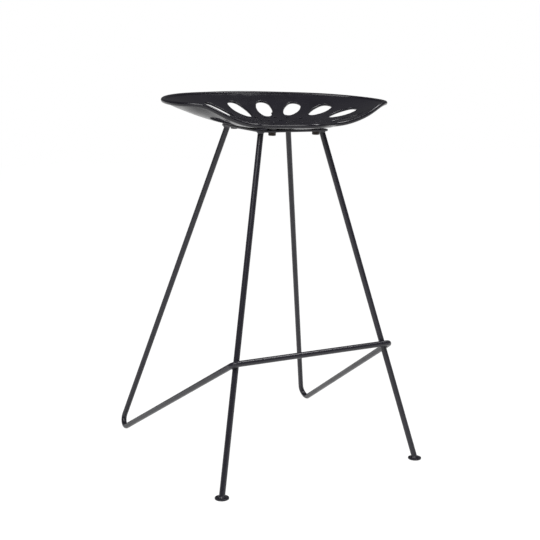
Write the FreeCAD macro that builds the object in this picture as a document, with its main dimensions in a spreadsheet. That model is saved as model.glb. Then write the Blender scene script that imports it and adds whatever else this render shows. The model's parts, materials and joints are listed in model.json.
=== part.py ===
import FreeCAD, Part
import math
import os
import Sketcher
from FreeCAD import Placement, Rotation, Vector

# Tractor seat stool: a cast pan seat with petal openings, bolted to a plate on a welded base of round bar.
# One long bent bar makes both rear legs, both side stays and the footrest.
# Two straight bars are the front legs. Each ends on a disc foot.
# Millimetres, +Z up, X across the stool, front edge towards -Y. The floor is Z = 0.
# The origin lies midway across the base and midway between its front and rear ends.

# Driving sizes: name, value, meaning. Angles are in degrees, shares and powers are plain numbers.
SIZES = (
    ("rod_dia", 12.0, "round bar of the whole base"),
    ("stance_depth", 514.0, "front feet's front edge to the rear bends' rear face"),
    ("front_foot_x", 227.0, "middle plane to a front foot's centre"),
    ("rear_bend_x", 246.5, "middle plane to the corner that a rear bend rounds"),
    ("rear_bend_radius", 18.0, "centre-line radius of the bends on the floor"),
    ("footrest_height", 250.0, "floor to the footrest's centre line"),
    ("weld_gap", 0.1, "between a bar and the bar that it is welded to"),
    ("weld_reach", 2.5, "how far a weld stands out round a leg's end"),
    ("weld_height", 4.0, "how far that weld runs along the leg"),
    ("foot_dia", 28.0, "disc under a front leg"),
    ("foot_thick", 3.0, "thickness of that disc"),
    ("foot_edge", 0.8, "bevel of the disc's edges"),
    ("plate_width", 162.0, "mounting plate, side to side"),
    ("plate_depth", 190.0, "mounting plate, front to back"),
    ("plate_thick", 4.0, "mounting plate"),
    ("plate_corner", 20.0, "mounting plate's corner radius"),
    ("plate_y", -34.0, "mounting plate's centre, forward of the origin"),
    ("plate_height", 691.0, "floor to the plate's underside at its centre"),
    ("seat_pitch", 2.6, "plate and seat lean forward by this angle"),
    ("front_leg_inset_x", 10.5, "plate's side edge to a front leg's end"),
    ("front_leg_inset_y", 21.5, "plate's front edge to a front leg's end"),
    ("rear_leg_inset_x", 8.0, "plate's side edge to a rear leg's end"),
    ("rear_leg_inset_y", 24.5, "plate's rear edge to a rear leg's end"),
    ("bolt_inset_x", 30.5, "plate's side edges to the seat bolts"),
    ("bolt_inset_y", 11.5, "plate's front and rear edges to the seat bolts"),
    ("bolt_dia", 8.0, "seat bolt's shank"),
    ("bolt_clearance", 0.5, "radial room for a bolt in the plate and its washer"),
    ("thread_clearance", 0.1, "radial room for a bolt in its boss"),
    ("bolt_grip", 5.0, "length of shank inside the boss"),
    ("bolt_end_room", 0.5, "from the shank's end to the end of its hole"),
    ("bolt_flats", 13.0, "bolt head across its flats"),
    ("bolt_head", 5.5, "bolt head's height"),
    ("washer_dia", 16.0, "washer's outer diameter"),
    ("washer_thick", 1.6, "washer"),
    ("boss_dia", 20.0, "boss round a bolt under the pan"),
    ("pan_thick", 5.0, "wall of the pan"),
    ("pan_lift", 0.5, "mounting plate up to the pan at the middle"),
    ("rim_bead", 9.0, "diameter of the bead round the rim"),
    ("bowl_back", 1.95, "power of the pan's rise towards the back and the sides"),
    ("bowl_front", 4.0, "power of the pan's rise towards the front lip"),
    ("reach_back", 159.0, "seat's centre to the rim at the middle of the back"),
    ("reach_shoulder", 176.0, "the same, at the shoulder"),
    ("reach_hip", 208.5, "the same, at the hip"),
    ("reach_side", 245.0, "the same, at the side"),
    ("reach_wing", 236.8, "the same, at the wing"),
    ("reach_corner", 207.0, "the same, at the wing's front corner"),
    ("reach_thigh", 165.0, "the same, at the thigh"),
    ("reach_hollow", 131.5, "the same, at the hollow beside the lip"),
    ("reach_lip", 167.0, "the same, at the middle of the front lip"),
    ("rise_back", 66.5, "plate's underside up to the rim at the middle of the back"),
    ("rise_shoulder", 65.7, "the same, at the shoulder"),
    ("rise_hip", 64.0, "the same, at the hip"),
    ("rise_side", 59.3, "the same, at the side"),
    ("rise_wing", 56.0, "the same, at the wing"),
    ("rise_corner", 42.0, "the same, at the wing's front corner"),
    ("rise_thigh", 23.0, "the same, at the thigh"),
    ("rise_hollow", 14.5, "the same, at the hollow beside the lip"),
    ("rise_lip", 15.8, "the same, at the middle of the front lip"),
    ("petal_spacing", 26.0, "angle from petal to petal, before the fan is stretched sideways"),
    ("petal_stretch", 1.3, "how much wider than deep the stretched fan is"),
    ("petal_start_back", 0.42, "petal's inner end at the back, as a share of the way to the rim"),
    ("petal_start_side", 0.535, "the same, at the side"),
    ("petal_end_back", 0.822, "petal's outer end at the back, as a share of the way to the rim"),
    ("petal_end_side", 0.805, "the same, at the side"),
    ("petal_inner_radius", 11.5, "round inner end of a petal"),
    ("petal_outer_radius", 16.0, "round outer end of a petal"),
    ("petal_side_radius", 140.0, "full sides of a petal"),
    ("perforation_dia", 7.0, "small round holes in the middle of the pan"),
    ("perforation_step", 0.13, "from ring to ring of them, as a share of the way to the rim"),
)

# Stations of the rim, with their angles from the middle of the back. The two sides mirror each other.
RIM_STATIONS = (
    ("back", 0),
    ("shoulder", 35),
    ("hip", 65),
    ("side", 90),
    ("wing", 107),
    ("corner", 117),
    ("thigh", 129),
    ("hollow", 149),
    ("lip", 180),
)
# Between these angles from the back the pan's rise turns from its back power into its front power.
FRONT_BEGINS, FRONT_RULES = 80, 140
BEAD_SECTIONS = 48
PETALS = 12
PERFORATION_RINGS = 3
HOLES_IN_FIRST_RING = 6

doc = FreeCAD.newDocument("tractor_seat_stool")
sheet = doc.addObject("Spreadsheet::Sheet", "sizes")
for row, (alias, value, meaning) in enumerate(SIZES, 1):
    sheet.set("A%d" % row, meaning)
    sheet.set("B%d" % row, str(value))
    sheet.setAlias("B%d" % row, alias)
doc.recompute()


def size(alias):
    return float(sheet.get(alias))


def bound(kind, name, **expressions):
    """A document object whose properties follow expressions of the sheet."""
    item = doc.addObject(kind, name)
    for prop, expression in expressions.items():
        item.setExpression(prop, expression)
    return item


def free_form(name, shape):
    """A document object whose shape this file works out from the sheet."""
    item = doc.addObject("Part::Feature", name)
    item.Shape = shape
    return item


def common(name, *solids):
    item = doc.addObject("Part::MultiCommon", name)
    item.Shapes = list(solids)
    return item


def fused(name, *solids):
    item = doc.addObject("Part::MultiFuse", name)
    item.Shapes = list(solids)
    return item


def cut(name, base, tool):
    item = doc.addObject("Part::Cut", name)
    item.Base = base
    item.Tool = tool
    return item


def group(name, items):
    item = doc.addObject("Part::Compound", name)
    item.Links = list(items)
    return item


sub_parts = []


def sub_part(item, label, placement=None):
    """Names a finished piece and puts it in its place."""
    item.Label = label
    if placement is not None:
        item.Placement = placement
    sub_parts.append(item)
    return item


def mirrored(point):
    return Vector(-point.x, point.y, point.z)


# The seat, the plate and their bolts share one frame: the plate's underside at its centre, leaning forward.
seat_frame = Placement(Vector(0, size("plate_y"), size("plate_height")),
                       Rotation(Vector(1, 0, 0), size("seat_pitch")))
half_plate_x = size("plate_width") / 2
half_plate_y = size("plate_depth") / 2


# Base of round bar

rod_dia = size("rod_dia")
weld_pitch = rod_dia + size("weld_gap")
stance_end = size("stance_depth") / 2
front_top = seat_frame.multVec(Vector(half_plate_x - size("front_leg_inset_x"),
                                      size("front_leg_inset_y") - half_plate_y, 0))
rear_top = seat_frame.multVec(Vector(half_plate_x - size("rear_leg_inset_x"),
                                     half_plate_y - size("rear_leg_inset_y"), 0))
front_foot = Vector(size("front_foot_x"), size("foot_dia") / 2 - stance_end, size("foot_thick"))
leg_line = (front_top - front_foot).normalize()


def bar_corners():
    """Corners of the long bar's centre line on the +X side: on the floor, and at the footrest's end.

    The floor bend rests on the floor and ends the stance. The footrest passes in front of the front leg,
    and the stay outside it, each a weld away. Both corners are found by stepping towards these conditions.
    """
    bend = size("rear_bend_radius")
    along_footrest = Vector(1, 0, 0)
    leg_at_footrest = front_foot + leg_line * ((size("footrest_height") - front_foot.z) / leg_line.z)
    in_front = along_footrest.cross(leg_line).normalize()
    at_floor = Vector(size("rear_bend_x"), stance_end, 0)
    at_footrest = leg_at_footrest + Vector(weld_pitch, -weld_pitch / abs(in_front.y), 0)
    steps = 40
    for _ in range(steps):
        up_leg = (rear_top - at_floor).normalize()
        up_stay = (at_footrest - at_floor).normalize()
        half_angle = math.acos(up_leg.dot(up_stay)) / 2
        centre = at_floor + (up_leg + up_stay).normalize() * (bend / math.sin(half_angle))
        square = up_leg.cross(up_stay).normalize()
        lowest = centre.z - bend * math.sqrt(1 - square.z ** 2)
        rearmost = centre.y + bend * math.sqrt(1 - square.y ** 2)
        at_floor.z += rod_dia / 2 - lowest
        at_floor.y += stance_end - rod_dia / 2 - rearmost
        beside = leg_line.cross(up_stay).normalize()
        gap = (at_footrest - front_foot).dot(beside)
        at_footrest.x += (math.copysign(weld_pitch, gap) - gap) / beside.x
    return at_floor, at_footrest


def bent_wire(corners, radii):
    """Straight runs joined by tangent arcs of the given radii."""
    edges = []
    start = corners[0]
    for before, corner, after, radius in zip(corners, corners[1:], corners[2:], radii):
        to_before = (before - corner).normalize()
        to_after = (after - corner).normalize()
        half_angle = math.acos(to_before.dot(to_after)) / 2
        setback = radius / math.tan(half_angle)
        inside = (to_before + to_after).normalize() * (radius / math.sin(half_angle) - radius)
        arc_start = corner + to_before * setback
        arc_end = corner + to_after * setback
        edges.append(Part.LineSegment(start, arc_start).toShape())
        edges.append(Part.Arc(arc_start, corner + inside, arc_end).toShape())
        start = arc_end
    edges.append(Part.LineSegment(start, corners[-1]).toShape())
    return Part.Wire(edges)


def long_bar():
    """The bar along its bent centre line, both ends run on above the plate for trimming."""
    at_floor, at_footrest = bar_corners()
    run_on = (rear_top - at_floor).normalize() * (2 * rod_dia)
    half_route = [rear_top + run_on, at_floor, at_footrest]
    route = half_route + [mirrored(point) for point in reversed(half_route)]
    # At the footrest's corners the bar hugs the front leg.
    half_bends = [size("rear_bend_radius"), weld_pitch]
    wire = bent_wire(route, half_bends + half_bends[::-1])
    section = bound("Part::Circle", "bar_section", Radius="sizes.rod_dia / 2")
    section.Placement = Placement(route[0], Rotation(Vector(0, 0, 1), route[1] - route[0]))
    sweep = doc.addObject("Part::Sweep", "bar_sweep")
    sweep.Sections = [section]
    sweep.Spine = (free_form("bar_centre_line", wire), [])
    sweep.Solid = True
    return sweep, wire.Length


def half_space(name, frame, upwards):
    """A block far larger than the base, with one face on the frame's XY plane."""
    reach = 2 * size("stance_depth")
    tall = 2 * size("plate_height")
    block = bound("Part::Box", name, Length="sizes.stance_depth * 4", Width="sizes.stance_depth * 4",
                  Height="sizes.plate_height * 2")
    block.Placement = frame * Placement(Vector(-reach, -reach, 0 if upwards else -tall), Rotation())
    return block


def weld_ring(name, point, line):
    """A flare of weld round a bar that leaves a surface at this point along this line.

    The cone starts a weld's height behind the point, so that a slanting bar's flare meets the surface.
    """
    ring = bound("Part::Cone", name, Radius1="sizes.rod_dia / 2 + 2 * sizes.weld_reach",
                 Radius2="sizes.rod_dia / 2", Height="2 * sizes.weld_height")
    ring.Placement = Placement(point - line * size("weld_height"), Rotation(Vector(0, 0, 1), line))
    return ring


under_plate = half_space("under_plate", seat_frame, False)
above_feet = half_space("above_feet", Placement(Vector(0, 0, size("foot_thick")), Rotation()), True)


def front_leg(side, sign):
    foot = Vector(sign * front_foot.x, front_foot.y, front_foot.z)
    top = Vector(sign * front_top.x, front_top.y, front_top.z)
    line = (top - foot).normalize()
    run_on = line * (2 * rod_dia)
    bar = bound("Part::Cylinder", side + "_front_bar", Radius="sizes.rod_dia / 2")
    bar.Height = (top - foot + run_on * 2).Length
    bar.Placement = Placement(foot - run_on, Rotation(Vector(0, 0, 1), line))
    whole = fused(side + "_front_bar_and_welds", bar, weld_ring(side + "_foot_weld", foot, line),
                  weld_ring(side + "_front_top_weld", top, line * -1))
    return common(side + "_front_leg", whole, under_plate, above_feet)


def rear_top_weld(side, sign):
    top = Vector(sign * rear_top.x, rear_top.y, rear_top.z)
    at_floor = bar_corners()[0]
    down = Vector(sign * at_floor.x, at_floor.y, at_floor.z) - top
    return weld_ring(side + "_rear_top_weld", top, down.normalize())


bar_sweep, bar_length = long_bar()
bar_and_welds = fused("long_bar_and_welds", bar_sweep, rear_top_weld("left", -1), rear_top_weld("right", 1))
sub_part(common("long_bar", bar_and_welds, under_plate), "rear_legs_and_footrest")
sub_part(front_leg("left", -1), "front_leg_left")
sub_part(front_leg("right", 1), "front_leg_right")


# Sketched pieces: the feet and the mounting plate

def sketch_on(body, name):
    plane = next(item for item in body.Origin.OriginFeatures if item.Role == "XY_Plane")
    sketch = body.newObject("Sketcher::SketchObject", name)
    sketch.AttachmentSupport = [(plane, "")]
    sketch.MapMode = "FlatFace"
    return sketch


def body_with_sketch(name):
    """A body and a sketch on its own XY plane."""
    body = doc.addObject("PartDesign::Body", name)
    return body, sketch_on(body, name + "_outline")


def fix(sketch, rule, *places):
    sketch.addConstraint(Sketcher.Constraint(rule, *places))


def drive(sketch, name, rule, places, start, expression):
    """A named measure of the sketch that follows an expression of the sheet."""
    index = sketch.addConstraint(Sketcher.Constraint(rule, *places, start))
    sketch.renameConstraint(index, name)
    sketch.setExpression("Constraints." + name, expression)


def foot(side, sign):
    body, outline = body_with_sketch(side + "_foot")
    radius = size("foot_dia") / 2
    outline.addGeometry(Part.Circle(Vector(), Vector(0, 0, 1), radius), False)
    fix(outline, "Coincident", 0, 3, -1, 1)
    drive(outline, "radius", "Radius", (0,), radius, "sizes.foot_dia / 2")
    disc = body.newObject("PartDesign::Pad", side + "_foot_disc")
    disc.Profile = outline
    disc.setExpression("Length", "sizes.foot_thick")
    doc.recompute()
    edges = body.newObject("PartDesign::Chamfer", side + "_foot_edges")
    rims = ["Edge%d" % (number + 1) for number, edge in enumerate(disc.Shape.Edges) if edge.Closed]
    edges.Base = (disc, rims)
    edges.setExpression("Size", "sizes.foot_edge")
    body.Tip = edges
    place = Vector(sign * front_foot.x, front_foot.y, 0)
    return sub_part(body, "front_foot_" + side, Placement(place, Rotation()))


def mounting_plate():
    body, outline = body_with_sketch("plate")
    x, y = half_plate_x, half_plate_y
    corners = [Vector(-x, -y, 0), Vector(x, -y, 0), Vector(x, y, 0), Vector(-x, y, 0)]
    for start, end in zip(corners, corners[1:] + corners[:1]):
        outline.addGeometry(Part.LineSegment(start, end), False)
    for side in range(4):
        fix(outline, "Coincident", side, 2, (side + 1) % 4, 1)
        fix(outline, "Vertical" if side % 2 else "Horizontal", side)
    fix(outline, "Symmetric", 0, 1, 2, 1, -1, 1)
    drive(outline, "width", "DistanceX", (0, 1, 0, 2), 2 * x, "sizes.plate_width")
    drive(outline, "depth", "DistanceY", (1, 1, 1, 2), 2 * y, "sizes.plate_depth")
    blank = body.newObject("PartDesign::Pad", "plate_blank")
    blank.Profile = outline
    blank.setExpression("Length", "sizes.plate_thick")
    doc.recompute()
    rounded = body.newObject("PartDesign::Fillet", "plate_corners")
    upright = [number for number, edge in enumerate(blank.Shape.Edges, 1)
               if abs(edge.tangentAt(edge.FirstParameter).z) > 0.9]
    rounded.Base = (blank, ["Edge%d" % number for number in upright])
    rounded.setExpression("Radius", "sizes.plate_corner")
    doc.recompute()
    holes = sketch_on(body, "plate_holes")
    hole_x, hole_y = x - size("bolt_inset_x"), y - size("bolt_inset_y")
    radius = size("bolt_dia") / 2 + size("bolt_clearance")
    for sign_x, sign_y in ((1, 1), (-1, 1), (1, -1), (-1, -1)):
        centre = Vector(sign_x * hole_x, sign_y * hole_y, 0)
        holes.addGeometry(Part.Circle(centre, Vector(0, 0, 1), radius), False)
    drive(holes, "radius", "Radius", (0,), radius, "sizes.bolt_dia / 2 + sizes.bolt_clearance")
    drive(holes, "across", "DistanceX", (-1, 1, 0, 3), hole_x, "sizes.plate_width / 2 - sizes.bolt_inset_x")
    drive(holes, "along", "DistanceY", (-1, 1, 0, 3), hole_y, "sizes.plate_depth / 2 - sizes.bolt_inset_y")
    for other, mirror in ((1, (-2,)), (2, (-1,)), (3, (-1, 1))):
        fix(holes, "Equal", 0, other)
        fix(holes, "Symmetric", 0, 3, other, 3, *mirror)
    drilled = body.newObject("PartDesign::Pocket", "plate_drilled")
    drilled.Profile = holes
    drilled.Type = "ThroughAll"
    drilled.Reversed = True
    doc.recompute()
    if drilled.Shape.Volume > rounded.Shape.Volume - 4 * math.pi * radius ** 2 * size("plate_thick") * 0.99:
        raise ValueError("the mounting plate's holes are missing")
    body.Tip = drilled
    return sub_part(body, "mounting_plate", seat_frame)


foot("left", -1)
foot("right", 1)
mounting_plate()


# Seat bolts and washers, at the four corners of a rectangle, all in the seat's frame

bolt_x = half_plate_x - size("bolt_inset_x")
bolt_y = half_plate_y - size("bolt_inset_y")
bolt_places = [Vector(x, y, 0) for x in (-bolt_x, bolt_x) for y in (-bolt_y, bolt_y)]


def lowered(place, depth):
    return Placement(place - Vector(0, 0, depth), Rotation())


def bolt(number, place):
    """A hexagon head bolt, screwed up through the plate into a boss of the seat."""
    head_end = size("washer_thick") + size("bolt_head")
    hexagon = bound("Part::Prism", "bolt_hexagon_%d" % number, Circumradius="sizes.bolt_flats / sqrt(3)",
                    Height="sizes.bolt_head")
    hexagon.Polygon = 6
    hexagon.Placement = lowered(place, head_end)
    # A cone of 30 degrees takes the corners off the outer face.
    chamfer = bound("Part::Cone", "bolt_chamfer_%d" % number, Radius1="sizes.bolt_flats / 2",
                    Radius2="sizes.bolt_flats / 2 + sizes.bolt_head * sqrt(3)", Height="sizes.bolt_head")
    chamfer.Placement = lowered(place, head_end)
    shank = bound("Part::Cylinder", "bolt_shank_%d" % number, Radius="sizes.bolt_dia / 2",
                  Height="sizes.washer_thick + sizes.plate_thick + sizes.bolt_grip")
    shank.Placement = lowered(place, size("washer_thick"))
    return fused("bolt_%d" % number, common("bolt_head_%d" % number, hexagon, chamfer), shank)


def washer(number, place):
    disc = bound("Part::Cylinder", "washer_disc_%d" % number, Radius="sizes.washer_dia / 2",
                 Height="sizes.washer_thick")
    bore = bound("Part::Cylinder", "washer_bore_%d" % number,
                 Radius="sizes.bolt_dia / 2 + sizes.bolt_clearance", Height="sizes.washer_thick")
    for item in (disc, bore):
        item.Placement = lowered(place, size("washer_thick"))
    return cut("washer_%d" % number, disc, bore)


bolts = [bolt(number, place) for number, place in enumerate(bolt_places, 1)]
washers = [washer(number, place) for number, place in enumerate(bolt_places, 1)]
sub_part(group("all_bolts", bolts), "seat_bolts", seat_frame)
sub_part(group("all_washers", washers), "bolt_washers", seat_frame)


# Seat: a cast pan, in the seat's frame. A place on it is given by its angle from the back and by its share
# of the way from the centre to the rim.

pan_floor = size("plate_thick") + size("pan_lift") + size("pan_thick")


def rim_law():
    """The rim's reach and rise against the angle, as one smooth closed curve through the stations."""
    right = [(angle, Vector(size("reach_" + name), size("rise_" + name), 0))
             for name, angle in RIM_STATIONS]
    left = [(360 - angle, values) for angle, values in right[-2:0:-1]]
    angles, values = zip(*(right + left))
    law = Part.BSplineCurve()
    law.interpolate(Points=list(values), PeriodicFlag=True, Parameters=list(angles) + [360])
    return law


rim = rim_law()


def blend(value, start, end):
    """0 before start, 1 after end, and smooth between them."""
    share = min(max((value - start) / (end - start), 0), 1)
    return share * share * (3 - 2 * share)


def pan_height(x, y):
    """The pan's upper face: nearly flat at the centre, rising to the rim, latest towards the front lip."""
    angle = math.degrees(math.atan2(x, y)) % 360
    at_rim = rim.value(angle)
    share = math.hypot(x, y) / at_rim.x
    frontness = blend(min(angle, 360 - angle), FRONT_BEGINS, FRONT_RULES)
    power = size("bowl_back") + (size("bowl_front") - size("bowl_back")) * frontness
    rise = share ** power if share < 1 else 1 + power * (share - 1)
    return pan_floor + (at_rim.y - pan_floor) * rise


def pan_normal(x, y):
    step = 0.5
    slope_x = (pan_height(x + step, y) - pan_height(x - step, y)) / (2 * step)
    slope_y = (pan_height(x, y + step) - pan_height(x, y - step)) / (2 * step)
    return Vector(-slope_x, -slope_y, 1).normalize()


def pan_point(angle, share, depth=0):
    """A point of the pan at this angle and share, the given depth under its upper face."""
    reach = rim.value(angle % 360).x * share
    x, y = reach * math.sin(math.radians(angle)), reach * math.cos(math.radians(angle))
    return Vector(x, y, pan_height(x, y)) - pan_normal(x, y) * depth


def under_pan_face(depth):
    """Everything under the face that lies this deep in the pan, as one solid."""
    columns, rows = 31, 25
    margin = 1.5 * size("rim_bead")
    half_width = size("reach_side") + margin
    front = -size("reach_lip") - margin
    back = size("reach_back") + margin
    grid = []
    for column in range(columns):
        x = half_width * (2 * column / (columns - 1) - 1)
        line = []
        for row in range(rows):
            y = front + (back - front) * row / (rows - 1)
            line.append(Vector(x, y, pan_height(x, y)) - pan_normal(x, y) * depth)
        grid.append(line)
    surface = Part.BSplineSurface()
    surface.interpolate(grid)
    far_below = 2 * size("rise_back")
    return surface.toShape().extrude(Vector(0, 0, -far_below))


def rim_curve(rise_of):
    """The closed curve over the rim's outline, at the height that rise_of gives for each angle.

    It is built in a few stretches, since the wall's faces join more surely to shorter edges.
    """
    stretches = 6
    rim_points = 60
    points = []
    for angle in (360 * number / rim_points for number in range(rim_points)):
        reach = rim.value(angle).x
        points.append(Vector(reach * math.sin(math.radians(angle)), reach * math.cos(math.radians(angle)),
                             rise_of(angle)))
    curve = Part.BSplineCurve()
    curve.interpolate(Points=points, PeriodicFlag=True)
    knots = curve.getKnots()
    ends = [knots[(len(knots) - 1) * number // stretches] for number in range(stretches + 1)]
    return Part.Wire([curve.toShape(start, end) for start, end in zip(ends, ends[1:])])


def pan_wall():
    outline = Part.Face(rim_curve(lambda angle: 0)).extrude(Vector(0, 0, 2 * size("rise_back")))
    return under_pan_face(0).common(outline).cut(under_pan_face(size("pan_thick")))


def bead_centre(angle):
    """The middle of the wall's thickness at the rim."""
    at_rim = rim.value(angle % 360)
    turn = math.radians(angle)
    return Vector(at_rim.x * math.sin(turn), at_rim.x * math.cos(turn), at_rim.y - size("pan_thick") / 2)


def rim_bead():
    """A round bead along the whole rim, ruled from circle to circle."""
    step = 0.5
    sections = []
    for number in range(BEAD_SECTIONS):
        angle = 360 * number / BEAD_SECTIONS
        along = bead_centre(angle + step) - bead_centre(angle - step)
        circle = Part.Circle(bead_centre(angle), along.normalize(), size("rim_bead") / 2)
        sections.append(Part.Wire(circle.toShape()))
    return Part.makeLoft(sections + sections[:1], True, True)


def pan_cutter(outline_edges, origin, out, up):
    """A prism through the wall from an outline drawn with +X outwards and +Z square to the wall."""
    deep = 4 * size("pan_thick")
    face = Part.Face(Part.Wire(Part.sortEdges(outline_edges)[0]))
    face.Placement = Placement(origin - up * deep, Rotation(out, up.cross(out), up, "XZY"))
    return face.extrude(up * (2 * deep))


def petal_angle(number):
    """Petals fan out evenly to both sides of the back, and the fan is then stretched sideways."""
    even = math.radians(size("petal_spacing") * (number - (PETALS - 1) / 2))
    return math.degrees(math.atan2(size("petal_stretch") * math.sin(even), math.cos(even)))


def petal_cutter(angle):
    """A teardrop through the wall: a small and a large round end, joined by full sides tangent to both."""
    sideways = math.sin(math.radians(angle)) ** 2

    def end_of(which):
        at_back, at_side = size("petal_%s_back" % which), size("petal_%s_side" % which)
        return pan_point(angle, at_back + (at_side - at_back) * sideways)

    start, end = end_of("start"), end_of("end")
    out = (end - start).normalize()
    across = Vector(math.cos(math.radians(angle)), -math.sin(math.radians(angle)), 0)
    inner, outer, full = size("petal_inner_radius"), size("petal_outer_radius"), size("petal_side_radius")
    inner_x, outer_x = inner, (end - start).Length - outer
    apart = outer_x - inner_x
    side_x = inner_x + ((full - inner) ** 2 - (full - outer) ** 2 + apart ** 2) / (2 * apart)
    side_y = math.sqrt((full - inner) ** 2 - (side_x - inner_x) ** 2)
    edges = []

    def touch(x, radius, sign):
        """Where the full side touches the round end of this radius, centred at x."""
        centre = Vector(side_x, -sign * side_y, 0)
        return centre + (Vector(x, 0, 0) - centre) * (full / (full - radius))

    for sign in (1, -1):
        at_inner, at_outer = touch(inner_x, inner, sign), touch(outer_x, outer, sign)
        middle = Vector(side_x, -sign * side_y, 0)
        bulge = middle + ((at_inner + at_outer) * 0.5 - middle).normalize() * full
        edges.append(Part.Arc(at_inner, bulge, at_outer).toShape())
    for x, radius, tip in ((inner_x, inner, inner_x - inner), (outer_x, outer, outer_x + outer)):
        arc = Part.Arc(touch(x, radius, 1), Vector(tip, 0, 0), touch(x, radius, -1))
        edges.append(arc.toShape())
    return pan_cutter(edges, start, out, across.cross(out))


def perforation_cutter(angle, share):
    place = pan_point(angle, share)
    up = pan_normal(place.x, place.y)
    deep = 4 * size("pan_thick")
    return Part.makeCylinder(size("perforation_dia") / 2, 2 * deep, place - up * deep, up)


def perforations():
    """Rings of round holes, each with one ring's worth more than the last, staggered from ring to ring."""
    cutters = []
    for ring in range(1, PERFORATION_RINGS + 1):
        holes = HOLES_IN_FIRST_RING * ring
        for number in range(holes):
            angle = 360 / holes * (number + 0.5)
            cutters.append(perforation_cutter(angle, size("perforation_step") * ring))
    return Part.makeCompound(cutters)


def boss(number, place):
    """A boss from the plate up into the wall's thickness round a bolt."""
    post = bound("Part::Cylinder", "boss_post_%d" % number, Radius="sizes.boss_dia / 2",
                 Height="sizes.rise_back * 2")
    post.Placement = lowered(place, -size("plate_thick"))
    return common("boss_%d" % number, post, mid_wall)


def bolt_hole(number, place):
    hole = bound("Part::Cylinder", "bolt_hole_%d" % number,
                 Radius="sizes.bolt_dia / 2 + sizes.thread_clearance",
                 Height="sizes.bolt_grip + sizes.bolt_end_room")
    hole.Placement = lowered(place, -size("plate_thick"))
    return hole


mid_wall = free_form("under_mid_wall", under_pan_face(size("pan_thick") / 2))
bosses = [boss(number, place) for number, place in enumerate(bolt_places, 1)]
wall = free_form("pan_wall", pan_wall())
casting = fused("casting", wall, free_form("rim_bead", rim_bead()), *bosses)
petal_angles = [petal_angle(number) for number in range(PETALS)]
petals = free_form("petals", Part.makeCompound([petal_cutter(angle) for angle in petal_angles]))
holes = [bolt_hole(number, place) for number, place in enumerate(bolt_places, 1)]
openings = group("seat_openings", [petals, free_form("perforations", perforations())] + holes)
sub_part(cut("finished_seat", casting, openings), "seat", seat_frame)


# Checks, then one file for each sub-part

doc.recompute()
for item in doc.Objects:
    if "Invalid" in item.State or "Error" in item.State:
        raise ValueError("%s failed: %s" % (item.Name, item.State))
for item in sub_parts:
    if item.Shape.isNull() or not item.Shape.isValid() or not item.Shape.Solids:
        raise ValueError("%s has no valid solid" % item.Label)
if casting.Shape.Volume < 1.05 * wall.Shape.Volume:
    raise ValueError("the rim's bead and the bosses are missing from the seat")
bar_volume = math.pi * (rod_dia / 2) ** 2 * bar_length
if abs(bar_sweep.Shape.Volume / bar_volume - 1) > 0.01:
    raise ValueError("the long bar's volume is not its section times its length")

os.makedirs("parts", exist_ok=True)
for item in sub_parts:
    item.Shape.exportStep("parts/%s.step" % item.Label)
    box = item.Shape.BoundBox
    print("%-24s %2d solids %9.0f mm3  x %.1f..%.1f  y %.1f..%.1f  z %.1f..%.1f" % (
        item.Label, len(item.Shape.Solids), item.Shape.Volume,
        box.XMin, box.XMax, box.YMin, box.YMax, box.ZMin, box.ZMax))
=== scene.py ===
import json
import math

import bmesh
import bpy
import numpy as np
from mathutils import Euler, Matrix, Vector
from mathutils.geometry import delaunay_2d_cdt


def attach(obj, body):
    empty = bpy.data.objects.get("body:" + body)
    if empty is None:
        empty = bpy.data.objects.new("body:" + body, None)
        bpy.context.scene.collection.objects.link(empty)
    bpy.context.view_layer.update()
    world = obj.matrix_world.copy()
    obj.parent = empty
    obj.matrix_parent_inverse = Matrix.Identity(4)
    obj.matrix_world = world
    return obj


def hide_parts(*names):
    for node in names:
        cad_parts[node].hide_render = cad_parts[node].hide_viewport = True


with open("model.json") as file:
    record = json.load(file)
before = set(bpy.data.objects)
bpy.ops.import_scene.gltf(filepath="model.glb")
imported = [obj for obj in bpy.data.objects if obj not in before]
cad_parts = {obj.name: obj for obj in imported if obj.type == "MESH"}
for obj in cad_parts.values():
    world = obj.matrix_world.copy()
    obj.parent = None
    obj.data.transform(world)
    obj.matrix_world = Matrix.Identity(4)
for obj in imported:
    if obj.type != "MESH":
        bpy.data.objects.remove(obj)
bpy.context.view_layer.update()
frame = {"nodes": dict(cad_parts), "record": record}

# Tractor seat stool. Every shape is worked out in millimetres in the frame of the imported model, and becomes
# metres when its mesh is made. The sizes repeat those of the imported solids, apart from the rim's stations and
# the petals, which follow the photograph more closely.
MM = 0.001
# Distances in metres at which points are welded, and below which edges are dropped
WELD_WITHIN = 2e-6
DROP_BELOW = 1e-7

# Camera, from the photograph: eye point in metres, angles in radians, focal length in pixels of a 540 pixel frame
FRAME_PIXELS = 540
EYE = Vector((-1.0364, -1.9146, 0.7784))
TURN = 0.500
DOWN = 0.178
ROLL = 0.002
FOCAL_PIXELS = 1026.6

# Base: radii and corners of the bars, feet and the welds that hold them
ROD = 6.0
FRONT_FOOT = np.array((227.0, -243.0, 3.0))
FLOOR_CORNER = np.array((246.5, 263.908, -14.058))
FOOTREST_CORNER = np.array((182.880, -206.425, 250.0))
FLOOR_BEND = 18.0
FOOTREST_BEND = 12.1
FOOT_RADIUS = 14.0
FOOT_THICK = 3.0
FOOT_ROUNDING = 0.7
# Height above the joint, radius and ripple of the ring of weld round a bar
COLLAR = ((0.0, 8.3, 0.20), (0.5, 8.2, 0.22), (1.2, 7.7, 0.28), (2.0, 7.1, 0.28), (2.8, 6.5, 0.20),
          (3.4, 6.15, 0.08), (3.8, 5.8, 0.0))
# The bars are welded at the footrest where their axes lie closer than the hug
HUG = 12.9
SEAM_FROM_AXIS = 7.0
SEAM_LIFT = 3.6
SEAM_RADIUS = 1.75

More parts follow.
